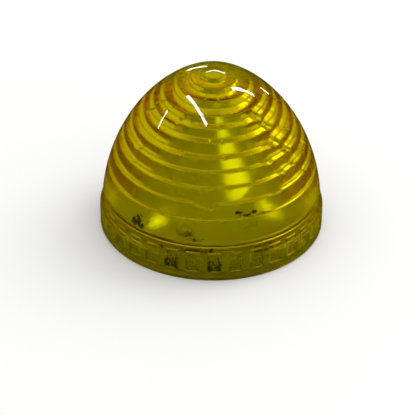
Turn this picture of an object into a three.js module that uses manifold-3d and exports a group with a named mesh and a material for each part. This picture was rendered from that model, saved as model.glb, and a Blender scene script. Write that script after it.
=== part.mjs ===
// Raised dome marker light: a transparent yellow dome lens with stepped rings inside,
// lifted straight off a round base that holds the circuit board, the LEDs and, over them,
// an opal moulding whose flat rim passes their light and whose cone is metallised.
// Millimetres, +Z up. The origin is the middle of the face that it stands on.
import * as THREE from 'three';
import { mergeVertices } from 'three/addons/utils/BufferGeometryUtils.js';
import Module from 'manifold-3d';

const wasm = await Module();
wasm.setup();

// ---------------------------------------------------------------- driving dimensions
const GAP = 0.3;                    // between pieces that touch

// Lens, outside
const BAND_RADIUS = 32;             // plain band round the foot
const BAND_HEIGHT = 6.9;
const BAND_CHAMFER = 0.25;
const LENS_HEIGHT = 49.5;
const DOME_RADIUS = 31.4;           // where the dome leaves the band
const DOME_SPRING = 5.3;            // height that the dome curve is measured from
const DOME_RISE_POWER = 1.98;
const DOME_SIDE_POWER = 1.665;

// Lens, inside: a stack of near-vertical rings, each a step narrower than the one below
const WALL = 2.6;                   // least wall, at the outer corner of each step
const RING_HEIGHTS = [17.0, 21.4, 25.3, 29.1, 32.3, 35.8, 38.6, 41.0, 43.6, 45.4];
const RING_DRAFT = 0.15;            // how much wider a ring is at its foot
const CEILING_HEIGHT = 46.6;
const CEILING_RADIUS = 3;
const SKIRT_INNER_RADIUS = 29.6;
const SHOULDER_HEIGHT = 9.5;        // ledge that sits on the seal
const STEP_HEIGHT = 10.5;
const SHOULDER_RADIUS = 28.6;
const STEP_RADIUS = 28.2;

// Pockets round the inside of the skirt
const POCKET_COUNT = 32;
const POCKET_TURN = 2;              // degrees from the front to the nearest pocket's middle
const POCKET_WIDTH = 3.7;
const POCKET_BOTTOM = 2.2;
const POCKET_SPLIT = 6.0;
const POCKET_TOP = 8.0;
const POCKET_DEEP_RADIUS = 30.8;
const POCKET_SHALLOW_RADIUS = 30.2;

// Base
const GASKET_THICKNESS = 1;
const GASKET_RADIUS = 28.6;
const GASKET_HOLE_RADIUS = 5.2;
const BASE_RADIUS = 29.1;
const BASE_BOTTOM = GASKET_THICKNESS + GAP;
const FLOOR_TOP = 4.3;
const RIM_INNER_RADIUS = 26.6;
const RIM_TOP = 8.2;
const BASE_CHAMFER = 0.5;
const MOUNT_HOLE_RADIUS = 2;
const MOUNT_HOLE_CIRCLE = 23.5;
const CABLE_HOLE_RADIUS = 3.3;
const GROMMET_BORE_RADIUS = 1.9;
const GROMMET_FLANGE_RADIUS = 4.6;
const GROMMET_FLANGE = 0.7;

// Circuit board
const BOARD_RADIUS = 20.5;
const BOARD_THICKNESS = 1.6;
const BOARD_BOTTOM = 5.5;
const BOARD_TOP = BOARD_BOTTOM + BOARD_THICKNESS;
const BOARD_HOLE_RADIUS = 5.2;
const STANDOFF_CIRCLE = 12;
const STANDOFF_COUNT = 3;
const STANDOFF_TURN = 60;           // degrees from +X to the first standoff
const STANDOFF_RADIUS = 2.5;

// LEDs, flat packages in a ring near the board's edge
const LED_COUNT = 6;
const LED_CIRCLE = 18.8;
const LED_WIDTH = 3.2;
const LED_DEPTH = 2.4;
const LED_HEIGHT = 1.2;
const LED_WINDOW_RADIUS = 0.9;
const LED_WINDOW_DEPTH = 0.3;
const LED_TURN = 30;                // degrees from +X to the first LED

// Other parts on the board
const CAPACITOR_RADIUS = 2.5;
const CAPACITOR_HEIGHT = 4.7;
const TERMINAL_WIDTH = 8;
const TERMINAL_DEPTH = 5.6;
const TERMINAL_HEIGHT = 5.4;
const TERMINAL_WELLS = [-2, 2];
const TERMINAL_Y = 7.6;
const TERMINAL_SEAT = 2.2;          // floor of a well above the block's foot
const TERMINAL_WELL_RADIUS = 1.5;
const TERMINAL_SCREW_RADIUS = 0.7;
const TERMINAL_SCREW_HEAD_RADIUS = 1.1;
const TERMINAL_SCREW_LENGTH = 0.6;

// Reflector: a flat opal rim with a hollow cone in the middle
const REFLECTOR_RADIUS = STEP_RADIUS - GAP;
const REFLECTOR_BOTTOM = 9.2;
const REFLECTOR_WALL = 1;
const REFLECTOR_TOP = REFLECTOR_BOTTOM + REFLECTOR_WALL;
const CONE_FOOT_RADIUS = 15.4;
const CONE_TIP_RADIUS = 1.6;
const CONE_TOP = 28;
const CONE_WALL = 1.4;
const POST_RADIUS = 2.2;
const POST_CIRCLE = 23.5;
const POST_COUNT = 3;
const POST_TURN = 12.5;             // degrees from +X to the first post

// Seal between the rim and the lens
const SEAL_INNER_RADIUS = REFLECTOR_RADIUS + GAP;
const SEAL_OUTER_RADIUS = 29.2;

// Fasteners
const SCREW_RADIUS = 1;
const SCREW_HEAD_RADIUS = 1.9;
const SCREW_HEAD = 1.1;
const SCREW_SLOT = 0.5;
const SCREW_HOLE_RADIUS = SCREW_RADIUS + GAP;
const SCREW_TIP = 2.2;              // how low the screws in the base reach

// Retaining clips
const CLIP_COUNT = 3;
const CLIP_TURN = 60;               // degrees from +X to the first clip
const CLIP_WIDTH = 5;
const CLIP_THICKNESS = 0.5;
const CLIP_SLOT_WIDTH = 6;
const CLIP_SCREW_CIRCLE = 23;

// Facets round a turned piece
const SEGMENTS_LENS = 48;
const SEGMENTS_BASE = 40;
const SEGMENTS_HOLE = 16;
const SEGMENTS_SMALL = 12;

// ---------------------------------------------------------------- materials
function material(color, roughness, metalness = 0, opacity = 1) {
  return new THREE.MeshStandardMaterial({
    color, roughness, metalness, opacity, transparent: opacity < 1,
  });
}

const LENS_YELLOW = material(0xe0c808, 0.05, 0, 0.6);
const SEAL_RUBBER = material(0xc8c6bc, 0.6);
const BASE_WHITE = material(0xd8d6ce, 0.5);
const GASKET_FOAM = material(0xcfccc0, 0.9);
const BOARD_WHITE = material(0xdcdcd4, 0.45);
const REFLECTOR_SATIN = material(0xc4c4c0, 0.25, 1);
const NYLON_WHITE = material(0xe2e0d8, 0.5);
const LED_PACKAGE = material(0xe8e0a8, 0.35);
const CHIP_BLACK = material(0x1c1c1e, 0.5);
const CAPACITOR_SLEEVE = material(0x30343c, 0.35, 0.3);
const TERMINAL_GREEN = material(0x2f6b4a, 0.45);
const SCREW_STEEL = material(0x9a9da0, 0.35, 1);
const SPRING_STEEL = material(0xa8a9a6, 0.3, 1);

// ---------------------------------------------------------------- solids
// Turns a closed three.js geometry into a solid, with merged corners and faces outwards.
function solidOf(geometry) {
  geometry.deleteAttribute('normal');
  geometry.deleteAttribute('uv');
  const merged = mergeVertices(geometry, 1e-4);
  const position = merged.getAttribute('position');
  const index = merged.getIndex().array;
  const corners = [new THREE.Vector3(), new THREE.Vector3(), new THREE.Vector3()];
  const triangles = [];
  let volume = 0;
  for (let i = 0; i < index.length; i += 3) {
    const [a, b, c] = index.slice(i, i + 3);
    if (a === b || b === c || c === a) continue;
    triangles.push([a, b, c]);
    [a, b, c].forEach((vertex, k) => corners[k].fromBufferAttribute(position, vertex));
    volume += corners[0].dot(corners[1].cross(corners[2]));
  }
  const outward = volume > 0 ? triangles : triangles.map(([a, b, c]) => [a, c, b]);
  return new wasm.Manifold(new wasm.Mesh({
    numProp: 3,
    vertProperties: new Float32Array(position.array),
    triVerts: new Uint32Array(outward.flat()),
  }));
}

// A profile of [radius, height] pairs turned about Z.
function turned(profile, segments) {
  const points = profile.map(([radius, height]) => new THREE.Vector2(radius, height));
  return solidOf(new THREE.LatheGeometry(points, segments).rotateX(Math.PI / 2));
}

// A ring of rectangular section.
function ring(inner, outer, bottom, top, segments) {
  return turned(
    [[inner, bottom], [outer, bottom], [outer, top], [inner, top], [inner, bottom]],
    segments,
  );
}

function disc(radius, bottom, top, segments) {
  return turned([[0, bottom], [radius, bottom], [radius, top], [0, top]], segments);
}

function block(width, depth, bottom, top) {
  const box = new THREE.BoxGeometry(width, depth, top - bottom);
  return solidOf(box.translate(0, 0, (top + bottom) / 2));
}

// Moves a solid out along X and then round the axis.
function around(solid, radius, degrees) {
  return solid.translate([radius, 0, 0]).rotate([0, 0, degrees]);
}

function joined(solids) {
  return solids.reduce((whole, solid) => whole.add(solid));
}

// The same solid at equal turns round the axis.
function circle(makeSolid, count, radius, firstDegrees) {
  const copies = [];
  for (let i = 0; i < count; i += 1) {
    copies.push(around(makeSolid(), radius, firstDegrees + (i * 360) / count));
  }
  return copies;
}

// ---------------------------------------------------------------- lens
// Radius of the dome at a height; depth moves the curve inwards and down.
function domeRadius(height, depth = 0) {
  const rise = (height - DOME_SPRING) / (LENS_HEIGHT - depth - DOME_SPRING);
  const fall = Math.max(0, 1 - rise ** DOME_RISE_POWER);
  return (DOME_RADIUS - depth) * fall ** (1 / DOME_SIDE_POWER);
}

function lensOutside() {
  const steps = 12;
  const foot = BAND_HEIGHT + GAP;
  const profile = [
    [BAND_RADIUS - BAND_CHAMFER, 0],
    [BAND_RADIUS, 1.6 * BAND_CHAMFER],
    [BAND_RADIUS, BAND_HEIGHT - 2 * BAND_CHAMFER],
    [BAND_RADIUS - BAND_CHAMFER, BAND_HEIGHT],
  ];
  const start = Math.asin((foot - DOME_SPRING) / (LENS_HEIGHT - DOME_SPRING));
  for (let i = 0; i < steps; i += 1) {
    const turn = start + ((Math.PI / 2 - start) * i) / steps;
    const height = DOME_SPRING + (LENS_HEIGHT - DOME_SPRING) * Math.sin(turn);
    profile.push([domeRadius(height), height]);
  }
  profile.push([0, LENS_HEIGHT]);
  return profile;
}

// From the ceiling down to the foot: down each ring's side, then out along its step.
function lensInside() {
  const profile = [[0, CEILING_HEIGHT], [CEILING_RADIUS, CEILING_HEIGHT]];
  let side = CEILING_RADIUS;
  for (const height of [...RING_HEIGHTS].reverse()) {
    profile.push([side + RING_DRAFT, height]);
    side = domeRadius(height, WALL);
    profile.push([side, height]);
  }
  profile.push([STEP_RADIUS, STEP_HEIGHT]);
  profile.push([SHOULDER_RADIUS - 0.2, STEP_HEIGHT]);
  profile.push([SHOULDER_RADIUS, SHOULDER_HEIGHT]);
  profile.push([SKIRT_INNER_RADIUS, SHOULDER_HEIGHT]);
  profile.push([SKIRT_INNER_RADIUS, 0]);
  return profile;
}

function pocket() {
  const root = SKIRT_INNER_RADIUS - 1;
  const deep = POCKET_DEEP_RADIUS - root;
  const shallow = POCKET_SHALLOW_RADIUS - root;
  const lower = block(deep, POCKET_WIDTH, POCKET_BOTTOM, POCKET_SPLIT).translate([deep / 2, 0, 0]);
  const upper = block(shallow, POCKET_WIDTH, POCKET_SPLIT - 0.1, POCKET_TOP);
  return lower.add(upper.translate([shallow / 2, 0, 0]));
}

function domeLens() {
  const body = turned([...lensInside(), ...lensOutside()], SEGMENTS_LENS);
  const root = SKIRT_INNER_RADIUS - 1;
  const pockets = circle(pocket, POCKET_COUNT, root, POCKET_TURN - 90);
  return body.subtract(joined(pockets));
}

// ---------------------------------------------------------------- base
function screwHole(bottom, top) {
  return disc(SCREW_HOLE_RADIUS, bottom, top, SEGMENTS_SMALL);
}

function mountHoles() {
  const hole = () => disc(MOUNT_HOLE_RADIUS, -1, FLOOR_TOP + 1, SEGMENTS_HOLE);
  return circle(hole, 2, MOUNT_HOLE_CIRCLE, 90);
}

function baseHousing() {
  const cup = turned([
    [CABLE_HOLE_RADIUS, BASE_BOTTOM],
    [BASE_RADIUS - BASE_CHAMFER, BASE_BOTTOM],
    [BASE_RADIUS, BASE_BOTTOM + BASE_CHAMFER],
    [BASE_RADIUS, RIM_TOP],
    [RIM_INNER_RADIUS, RIM_TOP],
    [RIM_INNER_RADIUS, FLOOR_TOP],
    [CABLE_HOLE_RADIUS, FLOOR_TOP],
    [CABLE_HOLE_RADIUS, BASE_BOTTOM],
  ], SEGMENTS_BASE);
  const sunk = FLOOR_TOP - 0.5;
  const post = () => disc(POST_RADIUS, sunk, REFLECTOR_BOTTOM - GAP, SEGMENTS_SMALL);
  const standoff = () => disc(STANDOFF_RADIUS, sunk, BOARD_BOTTOM - GAP, SEGMENTS_SMALL);
  const slot = () => block(4, CLIP_SLOT_WIDTH, FLOOR_TOP, RIM_TOP + 1);
  const tip = SCREW_TIP - GAP;
  return joined([
    cup,
    ...circle(post, POST_COUNT, POST_CIRCLE, POST_TURN),
    ...circle(standoff, STANDOFF_COUNT, STANDOFF_CIRCLE, STANDOFF_TURN),
  ]).subtract(joined([
    ...mountHoles(),
    ...circle(() => screwHole(tip, REFLECTOR_BOTTOM), POST_COUNT, POST_CIRCLE, POST_TURN),
    ...circle(() => screwHole(tip, BOARD_BOTTOM), STANDOFF_COUNT, STANDOFF_CIRCLE, STANDOFF_TURN),
    ...circle(() => screwHole(tip, FLOOR_TOP + 1), CLIP_COUNT, CLIP_SCREW_CIRCLE, CLIP_TURN),
    ...circle(slot, CLIP_COUNT, BASE_RADIUS - 1, CLIP_TURN),
  ]));
}

function baseGasket() {
  const sheet = ring(GASKET_HOLE_RADIUS, GASKET_RADIUS, 0, GASKET_THICKNESS, SEGMENTS_BASE);
  return sheet.subtract(joined(mountHoles()));
}

function cableGrommet() {
  const neck = CABLE_HOLE_RADIUS - GAP;
  const bottom = GASKET_THICKNESS - GROMMET_FLANGE;
  const top = FLOOR_TOP + GAP;
  return turned([
    [GROMMET_BORE_RADIUS, bottom],
    [GROMMET_FLANGE_RADIUS, bottom],
    [GROMMET_FLANGE_RADIUS, bottom + GROMMET_FLANGE],
    [neck, bottom + GROMMET_FLANGE],
    [neck, top],
    [GROMMET_FLANGE_RADIUS, top],
    [GROMMET_FLANGE_RADIUS - 0.4, top + GROMMET_FLANGE],
    [GROMMET_BORE_RADIUS, top + GROMMET_FLANGE],
    [GROMMET_BORE_RADIUS, bottom],
  ], SEGMENTS_HOLE);
}

function lensSeal() {
  const bottom = RIM_TOP + GAP;
  const top = SHOULDER_HEIGHT - GAP;
  return ring(SEAL_INNER_RADIUS, SEAL_OUTER_RADIUS, bottom, top, SEGMENTS_BASE);
}

// ---------------------------------------------------------------- reflector
function reflector() {
  const shell = turned([
    [0, CONE_TOP - CONE_WALL],
    [CONE_TIP_RADIUS - 0.6, CONE_TOP - 2],
    [CONE_FOOT_RADIUS - CONE_WALL, REFLECTOR_BOTTOM],
    [REFLECTOR_RADIUS, REFLECTOR_BOTTOM],
    [REFLECTOR_RADIUS, REFLECTOR_TOP],
    [CONE_FOOT_RADIUS + 0.6, REFLECTOR_TOP],
    [CONE_FOOT_RADIUS - 0.4, REFLECTOR_TOP + 0.6],
    [CONE_TIP_RADIUS, CONE_TOP - 0.6],
    [CONE_TIP_RADIUS / 2, CONE_TOP],
    [0, CONE_TOP],
  ], SEGMENTS_BASE);
  const hole = () => screwHole(REFLECTOR_BOTTOM - 1, REFLECTOR_TOP + 1);
  return shell.subtract(joined(circle(hole, POST_COUNT, POST_CIRCLE, POST_TURN)));
}

// ---------------------------------------------------------------- board and what is on it
function circuitBoard() {
  const board = ring(BOARD_HOLE_RADIUS, BOARD_RADIUS, BOARD_BOTTOM, BOARD_TOP, SEGMENTS_BASE);
  const hole = () => screwHole(BOARD_BOTTOM - 1, BOARD_TOP + 1);
  const holes = circle(hole, STANDOFF_COUNT, STANDOFF_CIRCLE, STANDOFF_TURN);
  return board.subtract(joined(holes));
}

// The long side lies across the radius; the window faces up.
function led() {
  const foot = BOARD_TOP + GAP;
  const top = foot + LED_HEIGHT;
  const body = block(LED_DEPTH, LED_WIDTH, foot, top);
  return body.subtract(disc(LED_WINDOW_RADIUS, top - LED_WINDOW_DEPTH, top + 1, SEGMENTS_SMALL));
}

// A round can with a rolled groove near its foot.
function capacitor() {
  const foot = BOARD_TOP + GAP;
  const radius = CAPACITOR_RADIUS;
  const top = foot + CAPACITOR_HEIGHT;
  return turned([
    [0, foot], [radius, foot], [radius, foot + 1], [radius - 0.2, foot + 1.3],
    [radius, foot + 1.6], [radius, top - 0.3], [radius - 0.3, top], [0, top],
  ], SEGMENTS_HOLE);
}

function chip(width, depth, height) {
  const foot = BOARD_TOP + GAP;
  const bevel = 0.3;
  const shape = new THREE.Shape([
    new THREE.Vector2(-width / 2, 0),
    new THREE.Vector2(width / 2, 0),
    new THREE.Vector2(width / 2, height - bevel),
    new THREE.Vector2(width / 2 - bevel, height),
    new THREE.Vector2(-width / 2 + bevel, height),
    new THREE.Vector2(-width / 2, height - bevel),
  ]);
  const bar = new THREE.ExtrudeGeometry(shape, { depth, bevelEnabled: false });
  return solidOf(bar.translate(0, 0, -depth / 2).rotateX(Math.PI / 2)).translate([0, 0, foot]);
}

// The wells take the screws from above; the mouths take the wires from the side.
function terminalBlock() {
  const foot = BOARD_TOP + GAP;
  const top = foot + TERMINAL_HEIGHT;
  const body = block(TERMINAL_WIDTH, TERMINAL_DEPTH, foot, top);
  const cuts = TERMINAL_WELLS.flatMap((x) => [
    disc(TERMINAL_WELL_RADIUS, foot + TERMINAL_SEAT, top + 1, SEGMENTS_SMALL).translate([x, 0, 0]),
    block(2.4, 3, foot + 0.8, foot + TERMINAL_SEAT + 0.4).translate([x, -2, 0]),
  ]);
  return body.subtract(joined(cuts));
}

function screw(headBottom, tip, radius = SCREW_RADIUS, headRadius = SCREW_HEAD_RADIUS) {
  const top = headBottom + SCREW_HEAD;
  const body = turned([
    [0, tip], [radius - 0.3, tip], [radius, tip + 0.5], [radius, headBottom],
    [headRadius, headBottom], [headRadius, top - 0.4], [headRadius - 0.4, top], [0, top],
  ], SEGMENTS_SMALL);
  return body.subtract(block(2 * headRadius + 1, SCREW_SLOT, top - SCREW_SLOT, top + 1));
}

// ---------------------------------------------------------------- clips
// A steel leaf: a flat foot under its screw, rising outwards to a nose behind the skirt.
function retainingClip() {
  const foot = FLOOR_TOP + GAP;
  const outline = [
    [21, foot], [26.2, foot], [28.9, foot + 2], [28.6, foot + 3],
    [28.1, foot + 3], [28.3, foot + 2.1], [26, foot + CLIP_THICKNESS], [21, foot + CLIP_THICKNESS],
  ].map(([radius, height]) => new THREE.Vector2(radius, height));
  const shape = new THREE.Shape(outline);
  const leaf = new THREE.ExtrudeGeometry(shape, { depth: CLIP_WIDTH, bevelEnabled: false });
  const strip = solidOf(leaf.translate(0, 0, -CLIP_WIDTH / 2).rotateX(Math.PI / 2));
  return strip.subtract(screwHole(FLOOR_TOP, foot + 1).translate([CLIP_SCREW_CIRCLE, 0, 0]));
}

// ---------------------------------------------------------------- assembly
const marker = new THREE.Group();
const lensGroup = new THREE.Group();
const baseGroup = new THREE.Group();
marker.add(baseGroup, lensGroup);

function addMesh(group, name, solid, meshMaterial) {
  const { vertProperties, triVerts } = solid.getMesh();
  const geometry = new THREE.BufferGeometry();
  geometry.setAttribute('position', new THREE.BufferAttribute(vertProperties, 3));
  geometry.setIndex(new THREE.BufferAttribute(triVerts, 1));
  geometry.computeVertexNormals();
  const mesh = new THREE.Mesh(geometry, meshMaterial);
  mesh.name = name;
  group.add(mesh);
}

function addEach(group, name, solids, meshMaterial) {
  solids.forEach((solid, i) => addMesh(group, `${name}_${i + 1}`, solid, meshMaterial));
}

addMesh(lensGroup, 'dome_lens', domeLens(), LENS_YELLOW);

addMesh(baseGroup, 'base_gasket', baseGasket(), GASKET_FOAM);
addMesh(baseGroup, 'base_housing', baseHousing(), BASE_WHITE);
addMesh(baseGroup, 'cable_grommet', cableGrommet(), SEAL_RUBBER);
addMesh(baseGroup, 'lens_seal', lensSeal(), SEAL_RUBBER);

const clipTop = FLOOR_TOP + GAP + CLIP_THICKNESS;
const clips = circle(retainingClip, CLIP_COUNT, 0, CLIP_TURN);
const clipScrew = () => screw(clipTop + GAP, SCREW_TIP);
const clipScrews = circle(clipScrew, CLIP_COUNT, CLIP_SCREW_CIRCLE, CLIP_TURN);
addEach(baseGroup, 'retaining_clip', clips, SPRING_STEEL);
addEach(baseGroup, 'clip_screw', clipScrews, SCREW_STEEL);

addMesh(baseGroup, 'circuit_board', circuitBoard(), BOARD_WHITE);
const boardScrew = () => screw(BOARD_TOP + GAP, SCREW_TIP);
const boardScrews = circle(boardScrew, STANDOFF_COUNT, STANDOFF_CIRCLE, STANDOFF_TURN);
addEach(baseGroup, 'board_screw', boardScrews, SCREW_STEEL);
addEach(baseGroup, 'led', circle(led, LED_COUNT, LED_CIRCLE, LED_TURN), LED_PACKAGE);
addMesh(baseGroup, 'driver_chip', chip(5, 4, 1.6).translate([7.6, -4, 0]), CHIP_BLACK);
addMesh(baseGroup, 'bridge_rectifier', chip(4.6, 3.8, 2.2).translate([0, -8.6, 0]), CHIP_BLACK);
addMesh(baseGroup, 'capacitor', capacitor().translate([-8, -3.6, 0]), CAPACITOR_SLEEVE);
addMesh(baseGroup, 'resistor_1', chip(3.2, 1.6, 0.8).translate([8.6, 2.4, 0]), CHIP_BLACK);
addMesh(baseGroup, 'resistor_2', chip(3.2, 1.6, 0.8).translate([-8.6, 2.4, 0]), CHIP_BLACK);

addMesh(baseGroup, 'terminal_block', terminalBlock().translate([0, TERMINAL_Y, 0]), TERMINAL_GREEN);
const terminalScrews = TERMINAL_WELLS.map((x) => {
  const tip = BOARD_TOP + 2 * GAP + TERMINAL_SEAT;
  const head = tip + TERMINAL_SCREW_LENGTH;
  const body = screw(head, tip, TERMINAL_SCREW_RADIUS, TERMINAL_SCREW_HEAD_RADIUS);
  return body.translate([x, TERMINAL_Y, 0]);
});
addEach(baseGroup, 'terminal_screw', terminalScrews, SCREW_STEEL);

addMesh(baseGroup, 'cone_reflector', reflector(), REFLECTOR_SATIN);
const reflectorScrews = circle(
  () => screw(REFLECTOR_TOP + GAP, SCREW_TIP),
  POST_COUNT,
  POST_CIRCLE,
  POST_TURN,
);
addEach(baseGroup, 'reflector_screw', reflectorScrews, NYLON_WHITE);

export default marker;
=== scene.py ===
# Looks for the raised dome marker light. Lengths in the tables below are millimetres, and
# everything that reaches Blender is in metres.
import math
import random

import bmesh
import bpy
from mathutils import Matrix, Vector


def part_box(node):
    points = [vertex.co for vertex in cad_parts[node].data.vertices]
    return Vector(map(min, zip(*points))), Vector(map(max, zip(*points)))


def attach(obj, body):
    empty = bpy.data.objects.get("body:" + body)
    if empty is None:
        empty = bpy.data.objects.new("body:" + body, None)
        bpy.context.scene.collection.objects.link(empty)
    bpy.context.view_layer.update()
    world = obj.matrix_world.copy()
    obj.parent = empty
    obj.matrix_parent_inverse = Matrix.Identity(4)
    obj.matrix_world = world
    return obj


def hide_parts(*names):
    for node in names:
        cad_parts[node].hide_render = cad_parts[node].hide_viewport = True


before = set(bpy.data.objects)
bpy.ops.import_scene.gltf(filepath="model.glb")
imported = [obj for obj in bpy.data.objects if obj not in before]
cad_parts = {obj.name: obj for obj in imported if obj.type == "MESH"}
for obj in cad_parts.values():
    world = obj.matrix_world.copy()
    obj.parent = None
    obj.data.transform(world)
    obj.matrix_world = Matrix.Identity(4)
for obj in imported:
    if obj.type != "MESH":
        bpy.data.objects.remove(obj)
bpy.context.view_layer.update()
MM = 0.001
TURN = 2 * math.pi
GAP = 0.3

# ------------------------------------------------------------------ lens dimensions, in mm
LENS_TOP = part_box("dome_lens")[1]
BAND_RADIUS = LENS_TOP.x / MM
LENS_HEIGHT = LENS_TOP.z / MM
BAND_HEIGHT = 6.9
DOME_RADIUS = BAND_RADIUS - 0.6
DOME_SPRING = 5.3
DOME_RISE_POWER = 1.98
DOME_SIDE_POWER = 1.665
WALL = 2.6
RING_HEIGHTS = [17.0, 21.4, 25.3, 29.1, 32.3, 35.8, 38.6, 41.0, 43.6, 45.4]
RING_DRAFT = 0.15
CEILING_HEIGHT = 46.6
CEILING_RADIUS = 3.0
SKIRT_INNER_RADIUS = 29.6
SHOULDER_HEIGHT, STEP_HEIGHT = 9.5, 10.5
SHOULDER_RADIUS, STEP_RADIUS = 28.6, 28.2
POCKET_COUNT = 32
POCKET_TURN = 2.0
POCKET_HALF_ANGLE = 3.5
POCKET_BOTTOM, POCKET_SPLIT, POCKET_TOP = 2.2, 6.0, 8.0
POCKET_DEEP, POCKET_SHALLOW = 1.2, 0.6
POCKET_CHAMFER = 0.2
FRONT = math.radians(-90)

# ------------------------------------------------------------------ inner dimensions, in mm
FLOOR_TOP, RIM_TOP, RIM_INNER_RADIUS, CABLE_HOLE_RADIUS = 4.3, 8.2, 26.6, 3.3
POST_RADIUS, STANDOFF_RADIUS, STANDOFF_TOP = 2.2, 2.5, 5.2
MOUNT_HOLE_RADIUS, MOUNT_HOLE_CIRCLE = 2.0, 23.5
MOUNT_HOLE_TURNS = (90, 270)
SCREW_RADIUS, SCREW_HEAD_RADIUS, SCREW_HEAD = 1.0, 1.9, 1.1
SCREW_HOLE_RADIUS = SCREW_RADIUS + GAP
BOARD_HOLE_RADIUS = 5.2
CLIP_TURNS = (60, 180, 300)
CLIP_WIDTH, CLIP_SLOT_WIDTH, CLIP_SCREW_CIRCLE = 5, 6, 23
CONE_FOOT_RADIUS, CONE_TIP_RADIUS, CONE_WALL = 15.4, 1.6, 1.4


# ------------------------------------------------------------------ mesh helpers
def link(name, mesh):
    obj = bpy.data.objects.new(name, mesh)
    bpy.context.scene.collection.objects.link(obj)
    return obj


def finished(name, bm, sharp=35):
    """A new object from a bmesh, smooth apart from edges sharper than the given angle."""
    bmesh.ops.recalc_face_normals(bm, faces=bm.faces)
    bm.normal_update()
    for face in bm.faces:
        face.smooth = True
    for edge in bm.edges:
        if len(edge.link_faces) == 2 and edge.calc_face_angle(0) > math.radians(sharp):
            edge.smooth = False
    mesh = bpy.data.meshes.new(name)
    bm.to_mesh(mesh)
    bm.free()
    return link(name, mesh)


def rounded(profile, radius, steps=3, support=0.12):
    """The profile with each inner corner turned into a small arc between two support points."""
    out = [profile[0]]
    for before, corner, after in zip(profile, profile[1:], profile[2:]):
        here = Vector(corner)
        back, ahead = Vector(before) - here, Vector(after) - here
        turn = back.angle(ahead, math.pi)
        if turn > math.radians(170) or min(back.length, ahead.length) < 1e-6:
            out.append(corner)
            continue
        cut = min(radius / math.tan(turn / 2), 0.4 * back.length, 0.4 * ahead.length)
        start, end = here + back.normalized() * cut, here + ahead.normalized() * cut
        if back.length > 3 * (cut + support):
            out.append(tuple(here + back.normalized() * (cut + support)))
        for i in range(steps + 1):
            t = i / steps
            point = start * (1 - t) ** 2 + here * (2 * t * (1 - t)) + end * t**2
            out.append(tuple(point))
        if ahead.length > 3 * (cut + support):
            out.append(tuple(here + ahead.normalized() * (cut + support)))
    out.append(profile[-1])
    return out


def closed_ring(profile, radius, steps=3):
    """A ring section whose first and last corners are the same, rounded at every corner."""
    middle = tuple((Vector(profile[0]) + Vector(profile[1])) / 2)
    loop = [middle, *profile[1:-1], profile[0], middle]
    return rounded(loop, radius, steps)


def revolve_bmesh(profile, angles, shift=None):
    """Turns a profile of (radius, height) about Z. shift gives each point's radius, height, angle."""
    bm = bmesh.new()
    loops = []
    for index, (radius, height) in enumerate(profile):
        if radius < 1e-5:
            loops.append([bm.verts.new((0, 0, height * MM))])
            continue
        loop = []
        for step, angle in enumerate(angles):
            r, z, turn = radius, height, angle
            if shift:
                r, z, turn = shift(index, radius, height, angle, step)
            spot = (r * math.cos(turn) * MM, r * math.sin(turn) * MM, z * MM)
            loop.append(bm.verts.new(spot))
        loops.append(loop)
    if Vector(profile[0]) == Vector(profile[-1]) and profile[0][0] > 1e-5:
        for vert in loops[-1]:
            bm.verts.remove(vert)
        loops[-1] = loops[0]
    count = len(angles)
    for low, high in zip(loops, loops[1:]):
        for i in range(count):
            j = (i + 1) % count
            if len(low) == 1:
                bm.faces.new((low[0], high[j], high[i]))
            elif len(high) == 1:
                bm.faces.new((low[i], low[j], high[0]))
            else:
                bm.faces.new((low[i], low[j], high[j], high[i]))
    return bm


def even_angles(count):
    return [TURN * i / count for i in range(count)]


def revolve(name, profile, segments=96, sharp=35):
    return finished(name, revolve_bmesh(profile, even_angles(segments)), sharp)


def prism(name, outline, depth, bevel=0.0, segments=2):
    """An outline in X and Z, in mm, drawn out along Y about the middle, with bevelled edges."""
    bm = bmesh.new()
    ends = []
    for y in (-depth / 2, depth / 2):
        ends.append([bm.verts.new((x * MM, y * MM, z * MM)) for x, z in outline])
    bm.faces.new(ends[0])
    bm.faces.new(list(reversed(ends[1])))
    for i in range(len(outline)):
        j = (i + 1) % len(outline)
        bm.faces.new((ends[0][j], ends[0][i], ends[1][i], ends[1][j]))
    bmesh.ops.recalc_face_normals(bm, faces=bm.faces)
    if bevel:
        bmesh.ops.bevel(bm, geom=list(bm.edges), offset=bevel * MM, segments=segments,
                        profile=0.5, affect="EDGES", clamp_overlap=True)
    return finished(name, bm)


def slab(name, width, depth, height, bevel=0.0):
    half = width / 2
    outline = [(-half, 0), (half, 0), (half, height), (-half, height)]
    return prism(name, outline, depth, bevel)


def placed(obj, x=0.0, y=0.0, z=0.0, degrees=0.0):
    """Moves the mesh itself by a place in mm after a turn about Z."""
    turn = Matrix.Rotation(math.radians(degrees), 4, "Z")
    obj.data.transform(Matrix.Translation((x * MM, y * MM, z * MM)) @ turn)
    return obj


def around(obj, radius, degrees, height=0.0):
    """Moves the mesh out along X, up, and then round the axis."""
    turn = Matrix.Rotation(math.radians(degrees), 4, "Z")
    obj.data.transform(turn @ Matrix.Translation((radius * MM, 0, height * MM)))
    return obj


def baked(obj):
    """Applies the object's modifiers to its mesh."""
    graph = bpy.context.evaluated_depsgraph_get()
    mesh = bpy.data.meshes.new_from_object(obj.evaluated_get(graph))
    obj.modifiers.clear()
    obj.data = mesh
    return obj


def combined(obj, others, operation):
    """Joins or cuts obj by the other solids, which are used up."""
    for other in others:
        change = obj.modifiers.new("cut", "BOOLEAN")
        change.operation = operation
        change.solver = "EXACT"
        change.object = other
    bpy.context.view_layer.update()
    baked(obj)
    for other in others:
        bpy.data.objects.remove(other)
    return obj


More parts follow.
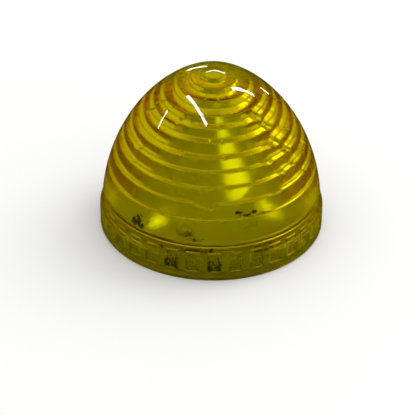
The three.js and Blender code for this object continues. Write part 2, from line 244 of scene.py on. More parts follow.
def softened(obj, width=0.1, segments=2, angle=40):
    """Rounds the sharp edges that a cut has left, and smooths the faces between them."""
    bevel = obj.modifiers.new("soft", "BEVEL")
    bevel.width = width * MM
    bevel.segments = segments
    bevel.limit_method = "ANGLE"
    bevel.angle_limit = math.radians(angle)
    bevel.harden_normals = False
    bpy.context.view_layer.update()
    baked(obj)
    bm = bmesh.new()
    bm.from_mesh(obj.data)
    for face in bm.faces:
        face.smooth = True
    for edge in bm.edges:
        sharp = len(edge.link_faces) == 2 and edge.calc_face_angle(0) > math.radians(angle)
        edge.smooth = not sharp
    bm.to_mesh(obj.data)
    bm.free()
    return obj


def cylinder(radius, bottom, top, segments=32):
    return revolve("cutter", [(0, bottom), (radius, bottom), (radius, top), (0, top)], segments)


def give(obj, material, body, node=None):
    """Dresses a piece, sets it on its body, and hides the CAD node it stands for."""
    obj.data.materials.clear()
    obj.data.materials.append(material)
    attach(obj, body)
    if node:
        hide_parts(node)
    return obj


# ------------------------------------------------------------------ materials
def new_material(name, color, roughness, metallic=0.0):
    material = bpy.data.materials.new(name)
    material.use_nodes = True
    shader = material.node_tree.nodes["Principled BSDF"]
    shader.inputs["Base Color"].default_value = (*color, 1)
    shader.inputs["Roughness"].default_value = roughness
    shader.inputs["Metallic"].default_value = metallic
    return material, material.node_tree, shader


def noise(tree, scale, detail=3.0, roughness=0.5):
    place = tree.nodes.new("ShaderNodeTexCoord")
    texture = tree.nodes.new("ShaderNodeTexNoise")
    texture.inputs["Scale"].default_value = scale
    texture.inputs["Detail"].default_value = detail
    texture.inputs["Roughness"].default_value = roughness
    tree.links.new(place.outputs["Object"], texture.inputs["Vector"])
    return texture


def ramp(tree, source, stops):
    node = tree.nodes.new("ShaderNodeValToRGB")
    elements = node.color_ramp.elements
    while len(elements) < len(stops):
        elements.new(0.5)
    for element, (position, color) in zip(elements, stops):
        element.position = position
        element.color = (*color, 1)
    tree.links.new(source, node.inputs["Fac"])
    return node.outputs["Color"]


def spread(tree, source, low, high):
    """A noise value mapped from its usual middle band to a range."""
    node = tree.nodes.new("ShaderNodeMapRange")
    node.inputs["From Min"].default_value = 0.3
    node.inputs["From Max"].default_value = 0.7
    node.inputs["To Min"].default_value = low
    node.inputs["To Max"].default_value = high
    tree.links.new(source, node.inputs["Value"])
    return node.outputs["Result"]


def bump(tree, shader, source, distance_mm, strength=0.5):
    node = tree.nodes.new("ShaderNodeBump")
    node.inputs["Strength"].default_value = strength
    node.inputs["Distance"].default_value = distance_mm * MM
    tree.links.new(source, node.inputs["Height"])
    tree.links.new(node.outputs["Normal"], shader.inputs["Normal"])


def textured(name, dark, light, rough_low, rough_high, metallic, scale, grain_mm):
    """Colour and gloss that wander between two values, over a fine grain."""
    mean = [(a + b) / 2 for a, b in zip(dark, light)]
    material, tree, shader = new_material(name, mean, (rough_low + rough_high) / 2, metallic)
    wide = noise(tree, scale, 4)
    fine = noise(tree, scale * 12, 5, 0.6)
    color = ramp(tree, wide.outputs["Fac"], [(0.3, dark), (0.7, light)])
    tree.links.new(color, shader.inputs["Base Color"])
    gloss = spread(tree, fine.outputs["Fac"], rough_low, rough_high)
    tree.links.new(gloss, shader.inputs["Roughness"])
    bump(tree, shader, fine.outputs["Fac"], grain_mm)
    return material


def math_node(tree, operation, first, second):
    node = tree.nodes.new("ShaderNodeMath")
    node.operation = operation
    for socket, value in zip(node.inputs, (first, second)):
        if isinstance(value, (int, float)):
            socket.default_value = value
        else:
            tree.links.new(value, socket)
    return node.outputs["Value"]


def polish_mask(tree):
    """1 on the polished outside of the lens and 0 on its satin inside, from the dome's curve."""
    place = tree.nodes.new("ShaderNodeTexCoord")
    parts = tree.nodes.new("ShaderNodeSeparateXYZ")
    tree.links.new(place.outputs["Object"], parts.inputs["Vector"])
    square_x = math_node(tree, "MULTIPLY", parts.outputs["X"], parts.outputs["X"])
    square_y = math_node(tree, "MULTIPLY", parts.outputs["Y"], parts.outputs["Y"])
    radius = math_node(tree, "SQRT", math_node(tree, "ADD", square_x, square_y), 0)
    side = math_node(tree, "POWER", math_node(tree, "DIVIDE", radius, DOME_RADIUS * MM),
                     DOME_SIDE_POWER)
    above = math_node(tree, "SUBTRACT", parts.outputs["Z"], DOME_SPRING * MM)
    rise = math_node(tree, "DIVIDE", math_node(tree, "MAXIMUM", above, 0),
                     (LENS_HEIGHT - DOME_SPRING) * MM)
    curve = math_node(tree, "ADD", side, math_node(tree, "POWER", rise, DOME_RISE_POWER))
    return math_node(tree, "GREATER_THAN", curve, 0.985)


def lens_material():
    """Clear yellow acrylic: a tint at each face, and an absorption that turns amber with depth."""
    tint = (0.57, 0.59, 0.015)
    material, tree, shader = new_material("lens_acrylic", tint, 0.02)
    shader.inputs["Transmission Weight"].default_value = 1.0
    shader.inputs["IOR"].default_value = 1.49
    wear = noise(tree, 900, 4, 0.65)
    polished = spread(tree, wear.outputs["Fac"], 0.005, 0.04)
    satin = spread(tree, wear.outputs["Fac"], 0.14, 0.22)
    mix = tree.nodes.new("ShaderNodeMix")
    tree.links.new(polish_mask(tree), mix.inputs["Factor"])
    tree.links.new(satin, mix.inputs["A"])
    tree.links.new(polished, mix.inputs["B"])
    tree.links.new(mix.outputs["Result"], shader.inputs["Roughness"])
    ripple = noise(tree, 160, 2)
    bump(tree, shader, ripple.outputs["Fac"], 0.02, 0.25)
    absorption = tree.nodes.new("ShaderNodeVolumeAbsorption")
    absorption.inputs["Color"].default_value = (0.996, 0.97, 0.2, 1)
    absorption.inputs["Density"].default_value = 1000.0
    output = tree.nodes["Material Output"]
    tree.links.new(absorption.outputs["Volume"], output.inputs["Volume"])
    return material


LENS = lens_material()
DIRT = textured("dirt", (0.004, 0.003, 0.002), (0.03, 0.022, 0.008), 0.7, 0.95, 0, 900, 0.05)
RUBBER = textured("silicone_rubber", (0.5, 0.49, 0.44), (0.62, 0.6, 0.55), 0.5, 0.7, 0, 250, 0.02)
FOAM = textured("gasket_foam", (0.5, 0.49, 0.45), (0.66, 0.65, 0.6), 0.85, 1, 0, 700, 0.1)
PLASTIC = textured("base_plastic", (0.66, 0.61, 0.53), (0.74, 0.69, 0.61), 0.4, 0.55, 0, 120, 0.02)
NATURAL = textured("natural_nylon", (0.72, 0.71, 0.66), (0.8, 0.79, 0.74), 0.4, 0.5, 0, 200, 0.01)
BOARD = textured("board_mask", (0.62, 0.62, 0.58), (0.74, 0.74, 0.7), 0.35, 0.5, 0, 200, 0.01)
PHOSPHOR = textured("led_phosphor", (0.8, 0.72, 0.34), (0.86, 0.8, 0.5), 0.3, 0.45, 0, 500, 0.01)
STEEL = textured("zinc_steel", (0.45, 0.46, 0.47), (0.66, 0.67, 0.68), 0.25, 0.42, 1, 300, 0.01)
SPRING = textured("spring_steel", (0.42, 0.41, 0.39), (0.6, 0.6, 0.58), 0.2, 0.35, 1, 260, 0.01)
CHIP = textured("chip_epoxy", (0.012, 0.012, 0.013), (0.03, 0.03, 0.032), 0.5, 0.65, 0, 900, 0.01)
SLEEVE = textured("capacitor_sleeve", (0.02, 0.028, 0.05), (0.05, 0.06, 0.09), 0.25, 0.4, 0, 300, 0.01)
NYLON = textured("terminal_nylon", (0.03, 0.15, 0.08), (0.06, 0.24, 0.13), 0.4, 0.55, 0, 300, 0.02)


def reflector_material():
    """Opal acrylic up to the foot of the cone, and a satin metal coat over the cone."""
    material, tree, shader = new_material("reflector_coat", (0.8, 0.79, 0.75), 0.3)
    cloud = noise(tree, 60)
    opal = ramp(tree, cloud.outputs["Fac"], [(0.3, (0.6, 0.59, 0.56)), (0.7, (0.64, 0.63, 0.6))])
    coat = ramp(tree, cloud.outputs["Fac"], [(0.3, (0.66, 0.66, 0.64)), (0.7, (0.74, 0.74, 0.72))])
    place = tree.nodes.new("ShaderNodeTexCoord")
    height = tree.nodes.new("ShaderNodeSeparateXYZ")
    tree.links.new(place.outputs["Object"], height.inputs["Vector"])
    edge = tree.nodes.new("ShaderNodeMapRange")
    edge.inputs["From Min"].default_value = 10.5 * MM
    edge.inputs["From Max"].default_value = 10.9 * MM
    tree.links.new(height.outputs["Z"], edge.inputs["Value"])
    coat_share = math_node(tree, "MULTIPLY", edge.outputs["Result"], 0.75)
    mix = tree.nodes.new("ShaderNodeMix")
    mix.data_type = "RGBA"
    tree.links.new(edge.outputs["Result"], mix.inputs["Factor"])
    tree.links.new(opal, mix.inputs["A"])
    tree.links.new(coat, mix.inputs["B"])
    tree.links.new(mix.outputs["Result"], shader.inputs["Base Color"])
    tree.links.new(coat_share, shader.inputs["Metallic"])
    fine = noise(tree, 500, 4)
    gloss = spread(tree, fine.outputs["Fac"], 0.2, 0.28)
    tree.links.new(gloss, shader.inputs["Roughness"])
    return material


MIRROR = reflector_material()


# ------------------------------------------------------------------ lens
def dome_radius(height, depth=0.0):
    """Radius of the dome at a height; depth moves the curve inwards and down."""
    rise = (height - DOME_SPRING) / (LENS_HEIGHT - depth - DOME_SPRING)
    fall = max(0.0, 1 - rise**DOME_RISE_POWER)
    return (DOME_RADIUS - depth) * fall ** (1 / DOME_SIDE_POWER)


def lens_outside(steps=56):
    spring = BAND_HEIGHT + 0.5
    foot = [(BAND_RADIUS - 0.25, 0), (BAND_RADIUS, 0.4), (BAND_RADIUS, BAND_HEIGHT - 0.6),
            (dome_radius(spring), spring)]
    rise = LENS_HEIGHT - DOME_SPRING
    start = math.asin((spring - DOME_SPRING) / rise)
    dome = []
    for i in range(1, steps):
        height = DOME_SPRING + rise * math.sin(start + (math.pi / 2 - start) * i / steps)
        dome.append((dome_radius(height), height))
    return rounded([*foot, dome[0]], 0.15, 2)[:-1] + dome + [(0, LENS_HEIGHT)]


SIDE_ROWS = [0.5, 0.8, 1.1, 1.45, 1.8, 2.15, 2.5]


def lens_inside():
    """From the ceiling down to the foot: down each ring's side, then out along its step."""
    profile = [(0, CEILING_HEIGHT), (CEILING_RADIUS, CEILING_HEIGHT)]
    side = CEILING_RADIUS
    for height in reversed(RING_HEIGHTS):
        profile.append((side + RING_DRAFT, height))
        side = dome_radius(height, WALL)
        profile.append((side, height))
    profile += [(STEP_RADIUS, STEP_HEIGHT), (SHOULDER_RADIUS - 0.2, STEP_HEIGHT),
                (SHOULDER_RADIUS, SHOULDER_HEIGHT), (SKIRT_INNER_RADIUS, SHOULDER_HEIGHT),
                (SKIRT_INNER_RADIUS, 8.8)]
    curve = [(0, CEILING_HEIGHT)]
    for point in rounded(profile, 0.22)[1:]:
        run = curve[-1][1] - point[1]
        if run > 1 and point[1] > STEP_HEIGHT - 0.5:
            start, rows = curve[-1], [row for row in SIDE_ROWS if row < run - 0.4]
            for row in rows:
                share = row / run
                radius = start[0] + (point[0] - start[0]) * share
                curve.append((radius, start[1] - row))
        curve.append(point)
    half = POCKET_CHAMFER / 2
    edges = [POCKET_TOP, POCKET_SPLIT, POCKET_BOTTOM]
    skirt = [(SKIRT_INNER_RADIUS, z) for edge in edges for z in (edge + half, edge - half)]
    return curve + skirt + [(SKIRT_INNER_RADIUS, 0.25), (SKIRT_INNER_RADIUS + 0.2, 0)]


def pocket_angles():
    """Angles round the lens, with a close pair at each side of each pocket."""
    half, edge = POCKET_HALF_ANGLE, 0.2
    pitch = 360 / POCKET_COUNT
    inner = [half * share for share in (-0.6, -0.2, 0.2, 0.6)]
    outer = [pitch / 2 + side for side in (-1.1, -0.35, 0.35, 1.1)]
    steps = [-half - edge, -half, *inner, half, half + edge, *outer]
    first = POCKET_TURN - 90
    return [math.radians(first + k * pitch + step) for k in range(POCKET_COUNT) for step in steps]


def pocket_depth(height, angle):
    """How far the skirt is cut back at a place: deep below the split, shallow above it."""
    pitch = 360 / POCKET_COUNT
    turn = (math.degrees(angle) + 90 - POCKET_TURN + pitch / 2) % pitch - pitch / 2
    if abs(turn) > POCKET_HALF_ANGLE + 0.01:
        return 0.0
    if POCKET_BOTTOM < height < POCKET_SPLIT:
        return POCKET_DEEP
    return POCKET_SHALLOW if POCKET_SPLIT < height < POCKET_TOP else 0.0


def ring_wander(ring, angle):
    """A moulded ring's edge is never quite level: each wanders by a few hundredths."""
    slow = math.sin(3 * angle + 1.7 * ring) + 0.6 * math.sin(8 * angle + 2.9 * ring)
    quick = 0.5 * math.sin(23 * angle + 4.1 * ring) + 0.35 * math.sin(41 * angle + ring)
    return 0.035 * (slow + quick)


# Flaws where a ring's edge hangs low: ring, degrees from the front, half width, drop.
SAGS = [
    (1, -4, 8, 1.7), (6, 51, 6, 0.9), (5, 57, 4, 0.6), (4, 54, 6.5, 0.9), (3, 41, 5, 0.7),
    (3, 63, 4, 0.6), (2, 50, 3, 0.4), (1, 40, 4, 0.4), (6, -38, 3, 0.35), (3, -64, 4, 0.5),
    (4, -30, 2, 0.3), (5, 150, 6, 0.8), (2, 190, 7, 0.9), (4, 240, 5, 0.7),
]
SAG_REACH = 2.6                     # how far below the edge the ring's side is drawn down


def sag(ring, angle):
    """How far a ring's edge hangs down: steeply at one side of the flaw, slowly at the other."""
    for place, degrees, half_width, reach in SAGS:
        if place != ring:
            continue
        away = (math.degrees(angle) + 90 - degrees + 180) % 360 - 180
        share = (away / half_width + 1) / 2
        if 0 < share < 1:
            rise = min(1, share / 0.6) * min(1, (1 - share) / 0.12)
            return reach * rise * (1 + 0.1 * math.sin(31 * share))
    return 0.0


def make_nicks():
    """Small nicks in the rings' edges: for each ring, the angle and drop of each nick."""
    rng = random.Random(21)
    return [[(rng.uniform(0, TURN), rng.uniform(0.2, 0.5)) for _ in range(10)] for _ in RING_HEIGHTS]


NICKS = make_nicks()


def nick(ring, angle):
    for place, drop in NICKS[ring]:
        if abs((angle - place + math.pi) % TURN - math.pi) < math.radians(1.1):
            return drop
    return 0.0


def lens_shift(inside_count, angle_count):
    """Cuts the pockets and the rings' flaws. Above the skirt the points are spread evenly."""
    def shift(index, radius, height, angle, step):
        if index < inside_count and height <= SHOULDER_HEIGHT:
            return radius + pocket_depth(height, angle), height, angle
        angle = math.radians(POCKET_TURN - 90 - POCKET_HALF_ANGLE) + TURN * step / angle_count
        if index >= inside_count or not STEP_HEIGHT + 1 < height < CEILING_HEIGHT - 0.3:
            return radius, height, angle
        ring = next((i for i, top in enumerate(RING_HEIGHTS) if height < top + 0.25), None)
        if ring is None:
            return radius, height, angle
        drop = RING_HEIGHTS[ring] - height
        height -= sag(ring, angle) * max(0, 1 - max(drop, 0) / SAG_REACH)
        if drop < 0.3:
            height += ring_wander(ring, angle)
        if 0 < drop < 0.3:
            height -= nick(ring, angle)
        return radius, height, angle
    return shift


def make_lens():
    inside, outside = lens_inside(), lens_outside()
    profile = inside + outside
    angles = pocket_angles()
    bm = revolve_bmesh(profile, angles, lens_shift(len(inside), len(angles)))
    lens = finished("lens_body", bm, 50)
    return give(lens, LENS, "lens", "dome_lens")


def flake(bm, centre, normal, size, rng):
    """One thin, uneven crumb of dirt, lying on a surface."""
    side = normal.orthogonal().normalized()
    up = normal.cross(side)
    count = rng.randint(5, 8)
    rims = []
    for lift in (0.0, 0.35):
        rim = []
        for i in range(count):
            angle = TURN * i / count + rng.uniform(-0.3, 0.3)
            reach = size * rng.uniform(0.45, 1.0) * (1 - lift * 0.4)
            spot = side * math.cos(angle) + up * math.sin(angle)
            rim.append(bm.verts.new((centre + spot * reach + normal * size * lift) * MM))
        rims.append(rim)
    top = bm.verts.new((centre + normal * size * 0.45) * MM)
    bm.faces.new(list(reversed(rims[0])))
    for i in range(count):
        j = (i + 1) % count
        bm.faces.new((rims[0][i], rims[0][j], rims[1][j], rims[1][i]))
        bm.faces.new((rims[1][i], rims[1][j], top))


def inner_radius(height):
    """Radius of the lens's inside at a height below the first ring."""
    if height < SHOULDER_HEIGHT:
        return SKIRT_INNER_RADIUS
    first = RING_HEIGHTS[0]
    share = min(1.0, max(0.0, (height - STEP_HEIGHT) / (first - STEP_HEIGHT)))
    return STEP_RADIUS + (dome_radius(first, WALL) - STEP_RADIUS) * share


# Patches of dirt inside the lens: degrees from the front, height, spread of each, count, size.
DIRT_PATCHES = [
    (-46.5, 11.5, 1.8, 1.0, 60, 0.34), (-43.5, 12.5, 1.4, 1.5, 60, 0.32),
    (-41.5, 11.0, 2.0, 0.5, 40, 0.28), (-12, 12.6, 4.5, 0.9, 46, 0.17),
    (-9, 11.2, 3.0, 0.5, 30, 0.18), (15.5, 19.2, 2.0, 0.6, 44, 0.24),
    (24.8, 18.7, 1.6, 0.6, 34, 0.22), (20.5, 18.1, 3.4, 0.5, 60, 0.18),
    (30, 17.6, 4.0, 0.4, 40, 0.16), (0.2, 8.7, 0.7, 0.7, 24, 0.26),
    (-26.5, 7.9, 0.8, 0.4, 18, 0.26), (-9, 8.3, 7.0, 0.45, 150, 0.17),
    (22, 14.5, 5.0, 1.6, 34, 0.15), (-30, 9.9, 8.0, 0.3, 60, 0.14),
    (-38, 13.5, 7.0, 2.6, 50, 0.14), (140, 12.0, 12.0, 1.6, 90, 0.16),
]
# Grime in the pockets, numbered from the front pocket: place, amount, flake size.
GRIMY_POCKETS = [
    (-6, 0.8, 0.12), (-5, 1.2, 0.13), (-4, 1.2, 0.14), (-3, 1.0, 0.14), (-2, 2.2, 0.3),
    (-1, 1.0, 0.2), (0, 2.6, 0.3), (1, 0.8, 0.2), (2, 0.9, 0.2), (3, 0.3, 0.12), (9, 1.0, 0.2),
    (14, 0.8, 0.2), (-12, 0.8, 0.2),
]


def make_dirt():
    rng = random.Random(7)
    bm = bmesh.new()
    for degrees, height, wide, tall, count, size in DIRT_PATCHES:
        for _ in range(count):
            angle = FRONT + math.radians(degrees + rng.gauss(0, wide / 2))
            z = height + rng.gauss(0, tall / 2)
            outward = Vector((math.cos(angle), math.sin(angle), 0))
            centre = outward * (inner_radius(z) - 0.03) + Vector((0, 0, z))
            flake(bm, centre, -outward, size * rng.uniform(0.4, 1.5), rng)
    for place, amount, size in GRIMY_POCKETS:
        middle = POCKET_TURN + place * 360 / POCKET_COUNT
        for _ in range(int(50 * amount)):
            at_side = rng.random() < 0.6
            reach = rng.uniform(0.55, 0.96) if at_side else rng.uniform(0, 0.7)
            angle = FRONT + math.radians(middle + rng.choice((-1, 1)) * POCKET_HALF_ANGLE * reach)
            z = rng.triangular(POCKET_BOTTOM + 0.2, POCKET_SPLIT + 1.4, POCKET_BOTTOM + 0.9)
            outward = Vector((math.cos(angle), math.sin(angle), 0))
            depth = POCKET_DEEP if z < POCKET_SPLIT else POCKET_SHALLOW
            centre = outward * (SKIRT_INNER_RADIUS + depth - 0.04) + Vector((0, 0, z))
            flake(bm, centre, -outward, size * rng.uniform(0.4, 1.3), rng)
    dirt = finished("lens_dirt", bm, 30)
    return give(dirt, DIRT, "lens")


# ------------------------------------------------------------------ base and seals
def angle_of(node):
    low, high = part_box(node)
    middle = (low + high) / 2
    return math.degrees(math.atan2(middle.y, middle.x)), math.hypot(middle.x, middle.y) / MM


def mount_holes(top):
    hole = (MOUNT_HOLE_RADIUS, -1, top, 40)
    return [around(cylinder(*hole), MOUNT_HOLE_CIRCLE, degrees) for degrees in MOUNT_HOLE_TURNS]


def make_base():
    low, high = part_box("base_housing")
    bottom, radius = low.z / MM, high.x / MM
    section = [(CABLE_HOLE_RADIUS, bottom), (radius - 0.5, bottom), (radius, bottom + 0.5),
               (radius, RIM_TOP), (RIM_INNER_RADIUS, RIM_TOP), (RIM_INNER_RADIUS, FLOOR_TOP),
               (CABLE_HOLE_RADIUS, FLOOR_TOP), (CABLE_HOLE_RADIUS, bottom)]
    base = revolve("base_tray", closed_ring(section, 0.2, 2), 128)
    sunk = FLOOR_TOP - 0.5
    posts = []
    for i in range(1, 4):
        degrees, reach = angle_of(f"reflector_screw_{i}")
        posts.append(around(cylinder(POST_RADIUS, sunk, high.z / MM), reach, degrees))
        degrees, reach = angle_of(f"board_screw_{i}")
        posts.append(around(cylinder(STANDOFF_RADIUS, sunk, STANDOFF_TOP), reach, degrees))
    combined(base, posts, "UNION")
    cuts = mount_holes(FLOOR_TOP + 1)
    for kind, top in (("reflector_screw", 10), ("board_screw", 6), ("clip_screw", 5)):
        for i in range(1, 4):
            degrees, reach = angle_of(f"{kind}_{i}")
            cuts.append(around(cylinder(SCREW_HOLE_RADIUS, 1.9, top, 24), reach, degrees))
    for degrees in CLIP_TURNS:
        slot = slab("cutter", 4, CLIP_SLOT_WIDTH, 5)
        cuts.append(around(slot, radius - 1, degrees, FLOOR_TOP + 0.02))
    combined(base, cuts, "DIFFERENCE")
    return give(softened(base, 0.08), PLASTIC, "base", "base_housing")


def make_rings():
    low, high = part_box("lens_seal")
    bottom, top, outer = low.z / MM, high.z / MM, high.x / MM
    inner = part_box("cone_reflector")[1].x / MM + GAP
    section = [(inner, bottom), (outer, bottom), (outer, top), (inner, top), (inner, bottom)]
    seal = revolve("seal_ring", closed_ring(section, 0.25), 128)
    give(seal, RUBBER, "base", "lens_seal")

    low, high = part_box("base_gasket")
    outer, top = high.x / MM, high.z / MM
    section = [(5.2, 0), (outer, 0), (outer, top), (5.2, top), (5.2, 0)]
    gasket = revolve("gasket_sheet", closed_ring(section, 0.15, 2), 128)
    combined(gasket, mount_holes(2), "DIFFERENCE")
    give(softened(gasket, 0.08), FOAM, "base", "base_gasket")

    low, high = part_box("cable_grommet")
    bottom, top, flange = low.z / MM, high.z / MM, high.x / MM
    bore, neck, thick = 1.9, CABLE_HOLE_RADIUS - GAP, 0.7
    section = [(bore, bottom), (flange, bottom), (flange, bottom + thick), (neck, bottom + thick),
               (neck, top - thick), (flange, top - thick), (flange - 0.4, top), (bore, top),
               (bore, bottom)]
    grommet = revolve("grommet_rubber", closed_ring(section, 0.2), 64)
    give(grommet, RUBBER, "base", "cable_grommet")


# ------------------------------------------------------------------ reflector
def make_reflector():
    low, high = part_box("cone_reflector")
    radius, bottom, top = high.x / MM, low.z / MM, high.z / MM
    face, foot, tip, wall = bottom + 1, CONE_FOOT_RADIUS, CONE_TIP_RADIUS, CONE_WALL
    profile = [(0, top - wall), (tip - 0.6, top - 2), (foot - wall, bottom), (radius, bottom),
               (radius, face), (foot + 0.6, face), (foot - 0.4, face + 0.6), (tip, top - 0.6),
               (tip / 2, top), (0, top)]
    shell = revolve("reflector_shell", rounded(profile, 0.5, 5), 192)
    cuts = []
    for i in range(1, 4):
        degrees, reach = angle_of(f"reflector_screw_{i}")
        cuts.append(around(cylinder(SCREW_HOLE_RADIUS, bottom - 1, face + 1), reach, degrees))
    combined(shell, cuts, "DIFFERENCE")
    return give(softened(shell, 0.08), MIRROR, "base", "cone_reflector")


# ------------------------------------------------------------------ board and its parts
def make_leds():
    for i in range(1, 7):
        node = f"led_{i}"
        degrees, reach = angle_of(node)
        low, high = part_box(node)
        foot, height = low.z / MM, (high.z - low.z) / MM
        body = placed(slab(f"led_package_{i}", 2.4, 3.2, height), z=foot)
        window = cylinder(0.9, foot + height - 0.3, foot + height + 1, 32)
        combined(body, [window], "DIFFERENCE")
        softened(body, 0.1, 3)
        give(around(body, reach, degrees), PHOSPHOR, "base", node)


def make_board():
    low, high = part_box("circuit_board")
    radius, bottom, top, hole = high.x / MM, low.z / MM, high.z / MM, BOARD_HOLE_RADIUS
    section = [(hole, bottom), (radius, bottom), (radius, top), (hole, top), (hole, bottom)]
    board = revolve("board_laminate", closed_ring(section, 0.08, 2), 128)
    holes = []
    for i in range(1, 4):
        degrees, reach = angle_of(f"board_screw_{i}")
        holes.append(around(cylinder(SCREW_HOLE_RADIUS, bottom - 1, top + 1), reach, degrees))
    combined(board, holes, "DIFFERENCE")
    give(softened(board, 0.05), BOARD, "base", "circuit_board")


def make_packages():
    """The chips: a moulded body with a chamfered top and a dimple at its first pin."""
    for node in ("driver_chip", "bridge_rectifier", "resistor_1", "resistor_2"):
        low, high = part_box(node)
        size, middle = (high - low) / MM, (low + high) / 2 / MM
        body = placed(slab(f"{node}_body", size.x, size.y, size.z), z=low.z / MM)
        if size.z > 1:
            dimple = cylinder(0.3, high.z / MM - 0.1, high.z / MM + 1, 24)
            corner = (0.8 - size.x / 2, size.y / 2 - 0.8)
            combined(body, [placed(dimple, *corner)], "DIFFERENCE")
        softened(body, 0.12, 3)
        placed(body, middle.x, middle.y)
        give(body, CHIP, "base", node)


def make_capacitor():
    low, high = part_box("capacitor")
    middle, radius = (low + high) / 2 / MM, (high.x - low.x) / 2 / MM
    foot, top = low.z / MM, high.z / MM
    profile = [(0, foot), (radius, foot), (radius, foot + 1), (radius - 0.2, foot + 1.3),
               (radius, foot + 1.6), (radius, top - 0.05), (radius - 0.5, top), (0, top)]
    can = revolve("capacitor_can", rounded(profile, 0.2, 4), 64)
    placed(can, middle.x, middle.y)
    give(can, SLEEVE, "base", "capacitor")


def make_terminal():
    low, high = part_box("terminal_block")
    size, middle = (high - low) / MM, (low + high) / 2 / MM
    foot, top = low.z / MM, high.z / MM
    body = placed(slab("terminal_body", size.x, size.y, size.z), z=foot)
    cuts = []
    for x in (-2, 2):
        cuts.append(placed(cylinder(1.5, foot + 2.2, top + 1, 40), x))
        mouth = slab("cutter", 2.4, 3, 1.8)
        cuts.append(placed(mouth, x, -2, foot + 0.8))
    combined(body, cuts, "DIFFERENCE")
    softened(body, 0.12, 3)
    placed(body, middle.x, middle.y)
    give(body, NYLON, "base", "terminal_block")


def make_screw(name, node, radius, head_radius, material):
    low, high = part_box(node)
    tip, top = low.z / MM, high.z / MM
    head = top - SCREW_HEAD
    profile = [(0, tip), (radius - 0.3, tip), (radius, tip + 0.5), (radius, head),
               (head_radius, head), (head_radius, top - 0.4), (head_radius - 0.5, top), (0, top)]
    body = revolve(name, rounded(profile, 0.12, 3), 48)
    cuts = [slab("cutter", 1.3 * head_radius, 0.4, 2), slab("cutter", 0.4, 1.3 * head_radius, 2)]
    for cut in cuts:
        placed(cut, z=top - 0.55)
    combined(body, cuts, "DIFFERENCE")
    middle = (low + high) / 2
    softened(body, 0.05)
    placed(body, middle.x / MM, middle.y / MM, 0)
    return give(body, material, "base", node)


def make_clips():
    for i, degrees in enumerate(CLIP_TURNS, 1):
        node = f"retaining_clip_{i}"
        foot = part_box(node)[0].z / MM
        outline = [(21, foot), (26.2, foot), (28.9, foot + 2), (28.6, foot + 3),
                   (28.1, foot + 3), (28.3, foot + 2.1), (26, foot + 0.5), (21, foot + 0.5)]
        leaf = prism(f"clip_leaf_{i}", outline, CLIP_WIDTH)
        hole = placed(cylinder(SCREW_HOLE_RADIUS, foot - 1, foot + 2), CLIP_SCREW_CIRCLE)
        combined(leaf, [hole], "DIFFERENCE")
        placed(softened(leaf, 0.12, 3, 30), degrees=degrees)
        give(leaf, SPRING, "base", node)


def make_inside():
    make_base()
    make_rings()
    make_reflector()
    make_board()
    make_leds()
    make_packages()
    make_capacitor()
    make_terminal()
    make_clips()
    for kind, material, slot in (("board_screw", STEEL, "screw"), ("clip_screw", STEEL, "screw"),
                                 ("reflector_screw", NATURAL, "nylon")):
        for i in range(1, 4):
            name = f"{kind}_body_{i}"
            make_screw(name, f"{kind}_{i}", SCREW_RADIUS, SCREW_HEAD_RADIUS, material)
    for i in (1, 2):
        make_screw(f"terminal_screw_body_{i}", f"terminal_screw_{i}", 0.7, 1.1, STEEL)


# ------------------------------------------------------------------ stage, lights and camera
def make_stage():
    mesh = bpy.data.meshes.new("floor")
    half = 3.0
    mesh.from_pydata([(-half, -half, 0), (half, -half, 0), (half, half, 0), (-half, half, 0)], [],
                     [(0, 1, 2, 3)])
    floor = link("floor", mesh)
    material, tree, shader = new_material("floor_paper", (0.9, 0.9, 0.89), 0.8)
    grain = noise(tree, 300, 3)
    bump(tree, shader, grain.outputs["Fac"], 0.05, 0.2)
    floor.data.materials.append(material)
    floor.visible_glossy = False
    world = bpy.data.worlds.new("studio")
    bpy.context.scene.world = world
    world.use_nodes = True
    sky = world.node_tree.nodes["Background"]
    sky.inputs["Color"].default_value = (1, 1, 1, 1)
    sky.inputs["Strength"].default_value = 0.95
    world.cycles_visibility.glossy = False


OBJECT_MIDDLE = Vector((0, 0, 0.04))
STRIP_RADIANCE = 24
GLOW_RADIANCE = 2.8


def area_light(name, start, end, width, power, glossy=True, diffuse=True, through=True):
    """A strip from start to end, in metres, facing the object."""
    start, end = Vector(start), Vector(end)
    middle = (start + end) / 2
    light = bpy.data.lights.new(name, "AREA")
    light.shape = "RECTANGLE"
    light.size = (end - start).length
    light.size_y = width
    light.energy = power
    along = (end - start).normalized()
    back = (middle - OBJECT_MIDDLE).normalized()
    across = back.cross(along).normalized()
    back = along.cross(across).normalized()
    lamp = bpy.data.objects.new(name, light)
    bpy.context.scene.collection.objects.link(lamp)
    turn = Matrix((along, across, back)).transposed().to_4x4()
    lamp.matrix_world = Matrix.Translation(middle) @ turn
    lamp.visible_glossy = glossy
    lamp.visible_diffuse = diffuse
    lamp.visible_transmission = through
    return lamp


def light_only(lamp, piece, seen_through):
    """Lets a lamp light one piece alone, straight through another that doesn't shade it."""
    lit = bpy.data.collections.new(f"{lamp.name}_lit")
    lit.objects.link(piece)
    lamp.light_linking.receiver_collection = lit
    clear = bpy.data.collections.new(f"{lamp.name}_clear")
    clear.objects.link(seen_through)
    clear.collection_objects[0].light_linking.link_state = "EXCLUDE"
    lamp.light_linking.blocker_collection = clear


def rim_glow(name, lamp_place, target, spread_degrees, power, lens, reflector):
    """The patch of light that the lens gathers on the reflector: it lights nothing else."""
    light = bpy.data.lights.new(name, "SPOT")
    light.energy = power
    light.spot_size = math.radians(spread_degrees)
    light.spot_blend = 1.0
    light.shadow_soft_size = 0.002
    lamp = bpy.data.objects.new(name, light)
    bpy.context.scene.collection.objects.link(lamp)
    place, target = Vector(lamp_place), Vector(target)
    turn = (place - target).to_track_quat("Z", "Y").to_matrix().to_4x4()
    lamp.matrix_world = Matrix.Translation(place) @ turn
    light_only(lamp, reflector, lens)


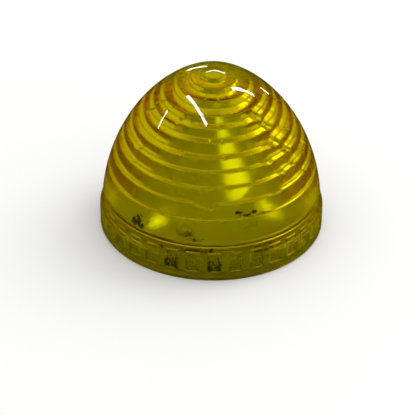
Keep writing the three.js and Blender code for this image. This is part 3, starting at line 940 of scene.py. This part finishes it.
def make_lights():
    strips = {
        "strip_front": ((-0.47, 0.17, 0.70), (-0.10, -0.37, 0.70), 0.036),
        "strip_left": ((-0.925, 0.263, 0.70), (-1.34, 0.141, 0.70), 0.04),
        "strip_right": ((0.335, 0.218, 0.70), (0.866, 0.662, 0.70), 0.055),
        "strip_back": ((-0.205, 0.61, 0.70), (0.29, 0.67, 0.70), 0.04),
        "strip_low_left": ((-0.28, 0.9, 0.15), (-0.126, 0.9, 0.311), 0.045),
        "strip_low_right": ((0.58, 0.9, 0.235), (0.61, 0.9, 0.14), 0.03),
    }
    for name, (start, end, width) in strips.items():
        area = (Vector(end) - Vector(start)).length * width
        power = STRIP_RADIANCE * math.pi * area
        area_light(name, start, end, width, power, diffuse=False, through=False)
    area_light("soft_key", (0.3, 0.5, 0.7), (0.9, 0.1, 0.7), 0.5, 3, glossy=False)
    lens, reflector = bpy.data.objects["lens_body"], bpy.data.objects["reflector_shell"]
    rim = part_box("cone_reflector")[0].z + MM
    rim_glow("rim_glow_left", (-0.12, -0.12, 0.16), (-0.0152, -0.0183, rim), 1.35, 7.5,
             lens, reflector)
    rim_glow("rim_glow_right", (0.12, -0.06, 0.16), (0.0165, -0.0132, rim), 1.7, 3.5,
             lens, reflector)
    start, end, width = (0.32, -0.46, 0.23), (0.60, 0.08, 0.10), 0.13
    area = (Vector(end) - Vector(start)).length * width
    glow = area_light("cone_glow", start, end, width, GLOW_RADIANCE * math.pi * area)
    light_only(glow, reflector, lens)


def make_camera():
    elevation, distance = math.radians(31.085), 0.547
    target = Vector((0, 0, 0.0259))
    place = target + Vector((0, -distance * math.cos(elevation), distance * math.sin(elevation)))
    forward = (target - place).normalized()
    right = Vector((1, 0, 0))
    up = right.cross(forward)
    aim = target - right * 0.93 * MM - up * 19.04 * MM
    forward = (aim - place).normalized()
    right = forward.cross(Vector((0, 0, 1))).normalized()
    up = right.cross(forward)
    turn = Matrix((right, up, -forward)).transposed() @ Matrix.Rotation(math.radians(0.93), 3, "Z")
    data = bpy.data.cameras.new("camera")
    data.lens = 167.3
    data.sensor_width = 36
    camera = bpy.data.objects.new("camera", data)
    bpy.context.scene.collection.objects.link(camera)
    camera.matrix_world = Matrix.Translation(place) @ turn.to_4x4()
    bpy.context.scene.camera = camera


def set_paths():
    """Light has to get through many faces of the lens before it comes out."""
    scene = bpy.context.scene
    scene.view_settings.view_transform = "Standard"
    scene.cycles.max_bounces = 32
    scene.cycles.transmission_bounces = 32
    scene.cycles.glossy_bounces = 16
    scene.cycles.diffuse_bounces = 6


make_camera()
make_lens()
make_dirt()
make_inside()
make_stage()
make_lights()
set_paths()
